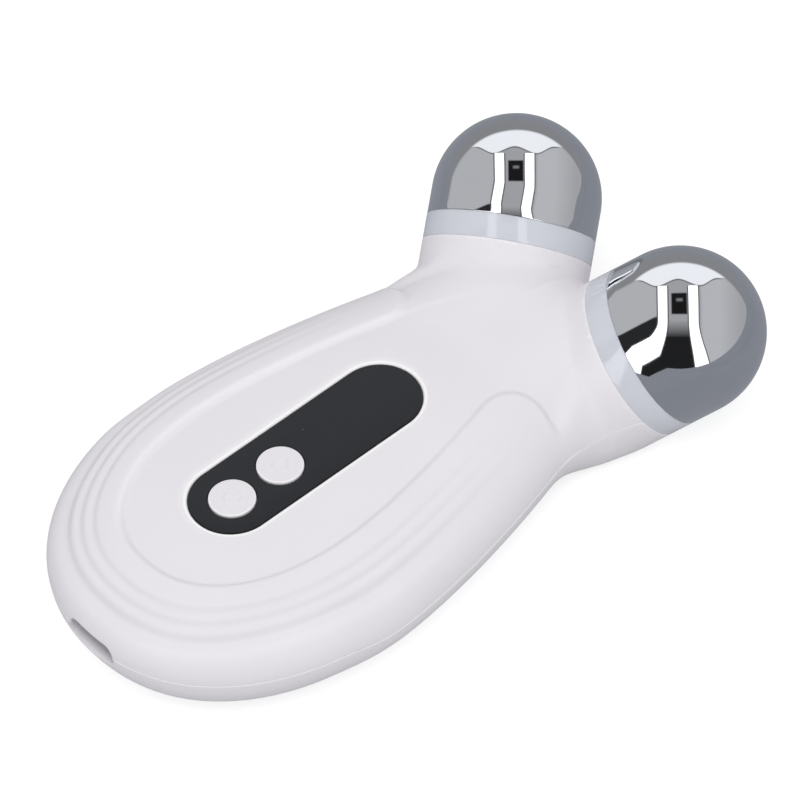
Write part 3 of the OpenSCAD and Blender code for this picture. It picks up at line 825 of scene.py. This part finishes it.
stands_for(case_top, "top_shell", case_body)
stands_for(case_bottom, "bottom_shell", case_body)
stands_for(window, "display_window", case_body)
stands_for(power_button, "power_button", power_body)
stands_for(mode_button, "mode_button", mode_body)
for word in sides:
    stands_for(rings[word], f"{word}_light_ring", case_body)
    stands_for(domes[word], f"{word}_dome", case_body)

# %% [markdown]
# ## Helpers for the finishes
# Colours are written as sRGB hex values, as a colour picker shows them, and turned to the
# linear numbers that the shader wants. Pattern scales are worked out from real sizes.

# %% Material helpers
def linear(hex_value):
    """sRGB hex such as E7E5EA to linear red, green, blue, alpha."""
    parts = [int(hex_value[k:k + 2], 16) / 255 for k in (0, 2, 4)]
    return tuple(c / 12.92 if c <= 0.04045 else ((c + 0.055) / 1.055) ** 2.4 for c in parts) + (1.0,)


def add(tree, kind, sockets=None, **settings):
    """Adds a shader node of a kind with its settings, and fills or links its sockets."""
    made = tree.nodes.new("ShaderNode" + kind)
    for name, value in settings.items():
        setattr(made, name, value)
    for name, value in (sockets or {}).items():
        if isinstance(value, bpy.types.NodeSocket):
            tree.links.new(value, made.inputs[name])
        else:
            made.inputs[name].default_value = value
    return made


def join(tree, shader, links, **constants):
    """Links patterns to a shader's sockets, and sets what is the same all over on the socket itself."""
    for name, source in links.items():
        tree.links.new(source, shader.inputs[name])
    for name, value in constants.items():
        shader.inputs[name].default_value = value


def per_metre(millimetres):
    """Pattern scale for features of a real size."""
    return 1000 / millimetres


def begin(name):
    """A new material with its node tree, its Principled shader and its coordinates."""
    material = bpy.data.materials.new(name)
    material.use_nodes = True
    tree = material.node_tree
    tree.nodes.clear()
    shader = add(tree, "BsdfPrincipled")
    add(tree, "OutputMaterial", {"Surface": shader.outputs[0]})
    place = add(tree, "TexCoord").outputs["Object"]
    return material, tree, shader, place


def finish(tree, shader, tones, pattern, roughness, height, deep_mm, strength=1.0, **constants):
    """The end of every finish: colour, a roughness that follows a pattern, and a fine relief."""
    sheen = add(tree, "MapRange", {"Value": pattern, "To Min": roughness[0], "To Max": roughness[1]})
    bump = add(tree, "Bump", {"Height": height, "Distance": deep_mm / 1000, "Strength": strength})
    links = {"Base Color": tones, "Roughness": sheen.outputs[0], "Normal": bump.outputs[0]}
    join(tree, shader, links, **constants)


def surface(name, first, second, roughness, ior, cloud_mm=9.0, grain_mm=0.35, grain_deep_mm=0.004,
            marks=None):
    """A moulded or cast surface: two close tones in soft clouds, painted light and shade if there are any,
    and a fine grain.
    """
    material, tree, shader, place = begin(name)
    cloud, grain = [
        add(tree, "TexNoise", {"Vector": place, "Scale": per_metre(size), "Detail": detail}).outputs[0]
        for size, detail in ((cloud_mm, 3.0), (grain_mm, 2.0))]
    tones = add(tree, "Mix", {0: cloud, 6: linear(first), 7: linear(second)},
                data_type="RGBA").outputs[2]
    if marks:
        tones = marks(tree, place, tones)
    finish(tree, shader, tones, cloud, roughness, grain, grain_deep_mm, IOR=ior)
    return material


# %% [markdown]
# ## The case: ABS, moulded, with a satin texture
# ABS is the usual plastic for such cases. The mould is spark-eroded, which leaves a very
# fine grain and a soft, even sheen. The grain is about 0.05 mm on the real thing, too fine
# to show, so it is drawn at 0.35 mm. The white has a faint cool pink in it.

# %% Case and button finishes
def pocket_rim_highlight(tree, place):
    """A painted highlight along the rounded rim of the window's pocket: a light line that spreads a little on
    to the panel.
    """
    parts = add(tree, "SeparateXYZ", {0: place}).outputs
    along = parts["Y"]
    straight = (window_length - window_width) / 2000
    steps = (("SUBTRACT", panel_y / 1000), ("ABSOLUTE", 0), ("SUBTRACT", straight), ("MAXIMUM", 0))
    for operation, number in steps:
        along = add(tree, "Math", {0: along, 1: number}, operation=operation).outputs[0]
    flat = add(tree, "CombineXYZ", {"X": parts["X"], "Y": along}).outputs[0]
    away = add(tree, "VectorMath", {0: flat}, operation="LENGTH").outputs["Value"]
    edge = window_width / 2000
    # The painted haze of light is stronger on the left side, whose rim faces the lamp
    line, haze, far = [
        add(tree, "MapRange", {"Value": value, "From Min": zero_at, "From Max": full_at,
                                         "To Min": low, "To Max": high}).outputs[0]
        for value, zero_at, full_at, low, high in (
            (away, edge + 0.0009, edge + 0.00065, 0.0, 1.0),
            (away, edge + 0.0019, edge + 0.0006, 0.0, 1.0),
            (parts["X"], 0.004, -0.006, 0.06, 0.4))]
    haze = add(tree, "Math", {0: haze, 1: far}, operation="MULTIPLY").outputs[0]
    both = add(tree, "Math", {0: line, 1: haze}, operation="MAXIMUM").outputs[0]
    upper = add(tree, "Math", {0: parts["Z"], 1: (panel_height - 2) / 1000},
                operation="GREATER_THAN").outputs[0]
    return add(tree, "Math", {0: both, 1: upper}, operation="MULTIPLY").outputs[0]


def case_painted_light_and_shade(tree, place, tones, has_pocket=True):
    """Painted shade as a deeper tone where a hollow is marked, and painted highlights as a lighter tone where
    a thin edge or the pocket's rim is marked.
    """
    # The hollow attribute holds painted shade, mixed in with the dark tone A8A5AC
    deep = add(tree, "Attribute", attribute_name="hollow").outputs["Fac"]
    tones = add(tree, "Mix", {0: deep, 6: tones, 7: linear("A8A5AC")}, data_type="RGBA").outputs[2]
    # The other attribute and the pocket's rim hold painted highlights, mixed in with the light tone FFFEFF
    marked = add(tree, "Attribute", attribute_name="painted_highlight").outputs["Fac"]
    if has_pocket:
        rim = pocket_rim_highlight(tree, place)
        marked = add(tree, "Math", {0: marked, 1: rim}, operation="MAXIMUM").outputs[0]
    return add(tree, "Mix", {0: marked, 6: tones, 7: linear("FFFEFF")}, data_type="RGBA").outputs[2]


# The keys get only the painted highlight along the cap's edge
def key_painted_highlight(tree, place, tones):
    return case_painted_light_and_shade(tree, place, tones, has_pocket=False)


abs_satin = surface("abs_moulded_satin", "EBE8ED", "EEEBF0", (0.46, 0.54), 1.53, grain_deep_mm=0.003,
                    marks=case_painted_light_and_shade)
abs_key = surface("abs_moulded_key", "EAE7EC", "EDEAEF", (0.36, 0.44), 1.53, grain_deep_mm=0.002,
                  marks=key_painted_highlight)

# %% [markdown]
# ## The window: polycarbonate, printed black from behind
# The ink is behind a clear hard plate, so the black has depth, with a smooth sheen on top
# and a few specks of dust, which smooth black always gathers.

# %% Window finish
def printed_window():
    material, tree, shader, place = begin("polycarbonate_printed_black")
    cloud = add(tree, "TexNoise", {"Vector": place, "Scale": per_metre(6), "Detail": 4.0}).outputs[0]
    ink = add(tree, "Mix", {0: cloud, 6: linear("0D0F15"), 7: linear("10121A")},
              data_type="RGBA").outputs[2]
    # A speck lies in the middle of a few of the cells
    cells = add(tree, "TexVoronoi", {"Vector": place, "Scale": per_metre(3.1)})
    chance = add(tree, "SeparateColor", {0: cells.outputs["Color"]}).outputs[0]
    rare = add(tree, "Math", {0: chance, 1: 0.86}, operation="GREATER_THAN").outputs[0]
    near = add(tree, "Math", {0: cells.outputs["Distance"], 1: 0.035}, operation="LESS_THAN").outputs[0]
    speck = add(tree, "Math", {0: rare, 1: near}, operation="MULTIPLY").outputs[0]
    dusted = add(tree, "Mix", {0: speck, 6: ink, 7: linear("6A6D72")}, data_type="RGBA").outputs[2]
    orange_peel = add(tree, "TexNoise", {"Vector": place, "Scale": per_metre(1.2)}).outputs[0]
    finish(tree, shader, dusted, cloud, (0.42, 0.5), orange_peel, 0.002, IOR=1.585,
           **{"Specular IOR Level": 0.28})
    return material


window_ink = printed_window()

# %% [markdown]
# ## The domes: steel, polished and chrome plated
# A mirror finish with a slightly cool tone. Handling leaves hairlines, which only change
# the roughness a little. The metal keeps the shader's own IOR.

# %% Dome finish
def plated_dome():
    material, tree, shader, place = begin("steel_polished_chrome_plated")
    cloud = add(tree, "TexNoise", {"Vector": place, "Scale": per_metre(14), "Detail": 3.0}).outputs[0]
    tones = add(tree, "Mix", {0: cloud, 6: linear("D3D5D9"), 7: linear("D9DADD")},
                data_type="RGBA").outputs[2]
    hair = add(tree, "TexNoise", {"Vector": place, "Scale": per_metre(0.5), "Detail": 5.0,
                                            "Distortion": 1.5}).outputs[0]
    ripple = add(tree, "TexNoise", {"Vector": place, "Scale": per_metre(9), "Detail": 1.0}).outputs[0]
    finish(tree, shader, tones, hair, (0.02, 0.06), ripple, 0.03, Metallic=1.0)
    return material


chrome_plate = plated_dome()

# %% [markdown]
# ## The light rings: polycarbonate, milky, with a polished outside
# Light from the lamps behind must pass but not show them, so the plastic holds a fine
# white pigment. Unlit it looks bluish grey. Light enters it a little way and comes out
# again, which softens its edges.

# %% Ring finish
ring_milk = surface("polycarbonate_milky_polished", "D5D8E1", "DADDE5", (0.08, 0.13), 1.585, cloud_mm=7,
                    grain_mm=1.5, grain_deep_mm=0.001)
ring_shader = next(n for n in ring_milk.node_tree.nodes if n.type == "BSDF_PRINCIPLED")
join(ring_milk.node_tree, ring_shader, {}, **{
    "Subsurface Weight": 0.3, "Subsurface Radius": (1.0, 1.0, 1.0), "Subsurface Scale": 0.0012})

# %% Dress the new pieces
def dress(piece, material):
    piece.data.materials.clear()
    piece.data.materials.append(material)


for piece in (case_top, case_bottom):
    dress(piece, abs_satin)
for piece in (power_button, mode_button):
    dress(piece, abs_key)
dress(window, window_ink)
for word in sides:
    dress(rings[word], ring_milk)
    dress(domes[word], chrome_plate)

# %% [markdown]
# ## Finishes of the inner pieces
# These pieces only show when the case is opened or seen through an opening, but each has
# the finish of the real thing.

# %% Circuit boards: glass epoxy with a solder mask, over printed tracks
def board(name, mask_first, mask_second, track):
    material, tree, shader, place = begin(name)
    tracks = add(tree, "TexBrick", {"Vector": place, "Scale": per_metre(9), "Mortar Size": 0.02,
                                              "Color1": linear(mask_first), "Color2": linear(mask_second),
                                              "Mortar": linear(track)})
    weave = add(tree, "TexNoise", {"Vector": place, "Scale": per_metre(0.6), "Detail": 2.0}).outputs[0]
    finish(tree, shader, tracks.outputs[0], weave, (0.28, 0.4), tracks.outputs[1], 0.03, 0.6, IOR=1.55)
    return material


# %% Brushed and drawn metal: fine lines along one direction
def brushed(name, first, second, line_mm, stretch, roughness):
    material, tree, shader, place = begin(name)
    along = add(tree, "Mapping", {"Vector": place, "Scale": stretch}).outputs[0]
    lines = add(tree, "TexNoise", {"Vector": along, "Scale": per_metre(line_mm),
                                             "Detail": 4.0}).outputs[0]
    tones = add(tree, "Mix", {0: lines, 6: linear(first), 7: linear(second)},
                data_type="RGBA").outputs[2]
    finish(tree, shader, tones, lines, roughness, lines, 0.005, Metallic=1.0)
    return material


# %% The finish of each slot
finishes = {
    "switch_black": surface("nylon_moulded_black", "1E1E1F", "262627", (0.4, 0.5), 1.53),
    "switch_steel": brushed("steel_stamped_bright", "B0B1B3", "C2C3C5", 0.4, (1, 8, 1), (0.25, 0.4)),
    "board_green": board("glass_epoxy_green_mask", "1B5A33", "1F6339", "2E7A48"),
    "led_board_white": board("glass_epoxy_white_mask", "E2E2DD", "E8E8E4", "CFCFC8"),
    "display_grey": surface("epoxy_filled_housing", "B9B9B5", "C2C2BE", (0.3, 0.4), 1.55),
    "diffuser_white": surface("polyester_diffusing_film", "EDEDED", "F2F2F2", (0.5, 0.6), 1.57),
    "chip_black": surface("epoxy_moulded_black", "1B1B1C", "242425", (0.5, 0.65), 1.55, cloud_mm=1.5,
                          grain_mm=0.2),
    "ferrite_grey": surface("ferrite_sintered", "3A3A3C", "48484B", (0.45, 0.6), 1.6, cloud_mm=1.2,
                            grain_mm=0.25),
    "socket_cream": surface("nylon_moulded_cream", "E0DCCF", "E6E2D6", (0.35, 0.45), 1.53),
    "cell_foil": brushed("aluminium_laminated_foil", "C4C7CA", "D2D4D6", 1.2, (1, 3, 1), (0.3, 0.42)),
    "foam_black": surface("polyurethane_foam_black", "202020", "303030", (0.85, 0.95), 1.5, cloud_mm=1,
                          grain_mm=0.5, grain_deep_mm=0.08),
    "tape_black": surface("acrylic_foam_tape", "1C1C1C", "262626", (0.7, 0.85), 1.49, cloud_mm=2,
                          grain_mm=0.5, grain_deep_mm=0.02),
    "lead_red": surface("silicone_extruded_red", "A3211F", "B02A26", (0.42, 0.52), 1.41, cloud_mm=3),
    "lead_white": surface("silicone_extruded_white", "DDDDDD", "E6E6E6", (0.42, 0.52), 1.41, cloud_mm=3),
    "port_steel": brushed("stainless_steel_drawn", "BFC0C1", "CFCFD0", 0.5, (6, 1, 1), (0.18, 0.3)),
    "screw_zinc": brushed("steel_zinc_plated", "A9ABB0", "BDBFC3", 0.3, (1, 1, 4), (0.28, 0.42)),
    "core_white": surface("abs_moulded_plain", "E4E4E4", "EAEAEA", (0.4, 0.5), 1.53),
    "spring_bronze": brushed("phosphor_bronze_rolled", "B98A4A", "C99A5A", 0.4, (1, 6, 1), (0.22, 0.34)),
}
slot_of = {part["node"]: part["material_slot"] for part in frame["record"]["subparts"]}
replaced = {"top_shell", "bottom_shell", "display_window", "power_button", "mode_button",
            "left_dome", "right_dome", "left_light_ring", "right_light_ring"}
for node, thing in frame["nodes"].items():
    if node in replaced:
        continue
    finish = finishes[slot_of[node]]
    if not thing.data.materials:
        thing.data.materials.append(finish)
    for k in range(len(thing.data.materials)):
        thing.data.materials[k] = finish
    thing.data.shade_smooth()
    thing.data.set_sharp_from_angle(angle=radians(30))
print("inner pieces dressed:", len(frame["nodes"]) - len(replaced))

# %% [markdown]
# ## The floor
# A plain pale floor. Whatever sees it directly, or in a mirror, gets some white light on
# top of what the floor returns, so it looks white and still darkens softly under the object.

# %% Floor
def pale_floor():
    material = bpy.data.materials.new("studio_paper_white")
    material.use_nodes = True
    tree = material.node_tree
    tree.nodes.clear()
    seen = add(tree, "LightPath")
    direct = add(tree, "Math", {0: seen.outputs["Is Camera Ray"], 1: seen.outputs["Is Glossy Ray"]},
                 operation="MAXIMUM").outputs[0]
    direct = add(tree, "Math", {0: direct, 1: seen.outputs["Is Transmission Ray"]},
                 operation="MAXIMUM").outputs[0]
    glow = add(tree, "Math", {0: direct, 1: 0.58}, operation="MULTIPLY").outputs[0]
    paper = add(tree, "BsdfDiffuse", {"Color": (0.65, 0.65, 0.65, 1)}).outputs[0]
    light = add(tree, "Emission", {"Color": (1, 1, 1, 1), "Strength": glow}).outputs[0]
    both = add(tree, "AddShader", {0: paper, 1: light}).outputs[0]
    add(tree, "OutputMaterial", {"Surface": both})
    return material


def level_sheet(name, half, height):
    corners = [(-half, -half, height), (half, -half, height), (half, half, height), (-half, half, height)]
    return new_object(name, corners, [[0, 1, 2, 3]])


floor_drop = 0.6
floor = level_sheet("floor", 3000, -floor_drop)
dress(floor, pale_floor())

# %% [markdown]
# ## Light
# The world gives a plain even light. One large soft lamp stands on the side of the camera,
# high up, so its shadows fall behind the object and the relief gets slow, soft shading.

# %% World and lamp
world = bpy.data.worlds.new("studio")
bpy.context.scene.world = world
world.use_nodes = True
world.node_tree.nodes["Background"].inputs["Color"].default_value = (1.0, 1.0, 1.0, 1)
world.node_tree.nodes["Background"].inputs["Strength"].default_value = 0.75

lamp_data = bpy.data.lights.new("softbox", "AREA")
lamp_data.shape, lamp_data.size, lamp_data.energy = "SQUARE", 0.9, 5.2
softbox = bpy.data.objects.new("softbox", lamp_data)
bpy.context.scene.collection.objects.link(softbox)
softbox.location = (0.75, -0.62, 1.15)
softbox.rotation_euler = softbox.location.to_track_quat("Z", "Y").to_euler()
softbox.visible_glossy = False

# %% [markdown]
# ## What the polished domes mirror
# A mirror ball shows the whole room inside its disc, so its look is the look of the room.
# Here the room is a photographer's booth: grey walls, a bright ceiling behind, two upright
# strip lights with the dark camera between them, and a grey card on the floor. Without the
# card the domes would mirror a white floor and lose their outline. The booth could be
# made of many cards, but it is easier to paint it on one big ball that only mirrors see.
# The paint is placed by where each thing shows in a mirror ball seen from the front: 0 is
# the middle of the ball, and 1 is its edge.

# %% Booth for reflections
def mirror_place(tree):
    """Where a direction shows in a mirror ball: how far right, how far up, and how far from its middle."""
    place = add(tree, "TexCoord").outputs["Object"]
    look = add(tree, "VectorMath", {0: place}, operation="NORMALIZE").outputs[0]
    right, high, front = [
        add(tree, "VectorMath", {0: look, 1: tuple(axis)}, operation="DOT_PRODUCT").outputs["Value"]
        for axis in (camera_right, -camera_down, -camera_forward)]
    double = add(tree, "Math", {0: front, 1: 2.0, 2: 2.0002}, operation="MULTIPLY_ADD").outputs[0]
    size = add(tree, "Math", {0: double}, operation="SQRT").outputs[0]
    u = add(tree, "Math", {0: right, 1: size}, operation="DIVIDE").outputs[0]
    v = add(tree, "Math", {0: high, 1: size}, operation="DIVIDE").outputs[0]
    both = add(tree, "CombineXYZ", {"X": u, "Y": v}).outputs[0]
    away = add(tree, "VectorMath", {0: both}, operation="LENGTH").outputs["Value"]
    return u, v, away


def between(tree, value, low, high, soft):
    """1 where a value lies between two limits, with soft borders."""
    rise, fall = [
        add(tree, "MapRange", {"Value": value, "From Min": zero_at, "From Max": one_at}).outputs[0]
        for zero_at, one_at in ((low - soft, low + soft), (high + soft, high - soft))]
    return add(tree, "Math", {0: rise, 1: fall}, operation="MULTIPLY").outputs[0]


def strip_place(tree, u, v, centre, lean, widen):
    """How far right of an upright strip a place lies, and how far away where the strip flares below."""
    below = add(tree, "MapRange", {"Value": v, "From Min": 0.12, "From Max": -0.55},
                interpolation_type="SMOOTHSTEP").outputs[0]
    middle = add(tree, "Math", {0: below, 1: lean, 2: centre}, operation="MULTIPLY_ADD").outputs[0]
    off = add(tree, "Math", {0: u, 1: middle}, operation="SUBTRACT").outputs[0]
    away = add(tree, "Math", {0: off}, operation="ABSOLUTE").outputs[0]
    return off, add(tree, "Math", {0: below, 1: -widen, 2: away}, operation="MULTIPLY_ADD").outputs[0]


def arched_height(tree, u, v):
    """Height from the edge of the ceiling, which has an arch between the strips and one on each side."""
    off = add(tree, "Math", {0: u, 1: 0.025}, operation="ADD").outputs[0]
    off = add(tree, "Math", {0: off}, operation="ABSOLUTE").outputs[0]
    inner = add(tree, "MapRange", {"Value": off, "From Min": 0.25, "From Max": 0.0},
                interpolation_type="SMOOTHSTEP").outputs[0]
    outer = add(tree, "MapRange", {"Value": off, "From Min": 0.25, "From Max": 0.45},
                interpolation_type="SMOOTHSTEP").outputs[0]
    arch = add(tree, "Math", {0: inner, 1: outer}, operation="ADD").outputs[0]
    return add(tree, "Math", {0: arch, 1: -0.078, 2: v}, operation="MULTIPLY_ADD").outputs[0]


def booth():
    material = bpy.data.materials.new("photo_booth_cloth")
    material.use_nodes = True
    tree = material.node_tree
    tree.nodes.clear()
    u, v, away = mirror_place(tree)
    slope = add(tree, "Math", {0: u, 1: -0.52, 2: v}, operation="MULTIPLY_ADD").outputs[0]
    arched = arched_height(tree, u, v)
    inside = between(tree, away, -1, 0.79, 0.012)
    left_off, left_away = strip_place(tree, u, v, -0.207, -0.31, 0.18)
    right_off, right_away = strip_place(tree, u, v, 0.143, 0.12, 0.032)
    strip_rows = between(tree, v, -0.42, 0.52, 0.008)
    # Each layer: its level of light, and the factors whose product says where it is
    layers = [
        (0.62, [inside, between(tree, u, -2, -0.2, 0.05)]),
        (0.67, [inside, between(tree, u, 0.2, 2, 0.05)]),
        (0.52, [inside, between(tree, u, 0.57, 2, 0.12)]),
        (0.50, [inside, between(tree, u, -0.27, 0.22, 0.01), between(tree, v, -0.5, 0.7, 0.01)]),
        (0.03, [inside, between(tree, slope, -2, 0.32, 0.01), between(tree, u, -2, -0.24, 0.01),
                between(tree, v, -0.6, 0.17, 0.02)]),
        (0.02, [inside, between(tree, left_off, 0, 2, 0.01), between(tree, right_off, -2, 0, 0.01),
                between(tree, v, -0.6, 0.03, 0.1)]),
        (1.25, [inside, between(tree, arched, 0.524, 2, 0.008)]),
        (0.1, [between(tree, away, -1, 0.76, 0.02), between(tree, arched, 0.51, 0.521, 0.004)]),
        (0.08, [between(tree, left_away, 0.05, 0.068, 0.004), strip_rows]),
        (0.08, [between(tree, right_away, 0.05, 0.068, 0.004), strip_rows]),
        (2.4, [between(tree, left_away, -1, 0.052, 0.006), strip_rows]),
        (2.4, [between(tree, right_away, -1, 0.053, 0.006), strip_rows]),
        (0.015, [between(tree, u, -0.107, 0.07, 0.006), between(tree, v, 0.195, 0.438, 0.008)]),
        (0.3, [between(tree, u, -0.05, 0.02, 0.012), between(tree, v, 0.345, 0.375, 0.012)]),
    ]
    level = 0.33
    for light, factors in layers:
        where = factors[0]
        for factor in factors[1:]:
            where = add(tree, "Math", {0: where, 1: factor}, operation="MULTIPLY").outputs[0]
        level = add(tree, "Mix", {0: where, 2: level, 3: light}).outputs[0]
    glow = add(tree, "Emission", {"Color": (0.97, 0.98, 1.0, 1), "Strength": level}).outputs[0]
    add(tree, "OutputMaterial", {"Surface": glow})
    return material


def grey_card():
    material = bpy.data.materials.new("card_grey")
    material.use_nodes = True
    tree = material.node_tree
    tree.nodes.clear()
    place = add(tree, "TexCoord").outputs["Object"]
    cloud = add(tree, "TexNoise", {"Vector": place, "Scale": per_metre(90), "Detail": 1.0}).outputs[0]
    level = add(tree, "MapRange", {"Value": cloud, "To Min": 0.32, "To Max": 0.39}).outputs[0]
    glow = add(tree, "Emission", {"Color": (0.87, 0.91, 1.0, 1), "Strength": level}).outputs[0]
    add(tree, "OutputMaterial", {"Surface": glow})
    return material


def only_in_mirrors(thing):
    thing.visible_camera = thing.visible_diffuse = thing.visible_shadow = False
    thing.visible_transmission = thing.visible_volume_scatter = False


booth_radius = 1200.0
booth_curve = fillet((0, 0), booth_radius, -87, 87, 40)
booth_ball = lathe("booth", [(0, -booth_radius)] + booth_curve + [(0, booth_radius)], 64)
booth_ball.location = (0, 0.045, 0.02)
dress(booth_ball, booth())
only_in_mirrors(booth_ball)
card = level_sheet("grey_card", booth_radius, -floor_drop / 2)
dress(card, grey_card())
only_in_mirrors(card)
print("booth made, radius in mm:", booth_radius)

# %% View settings
bpy.context.scene.view_settings.view_transform = "Standard"
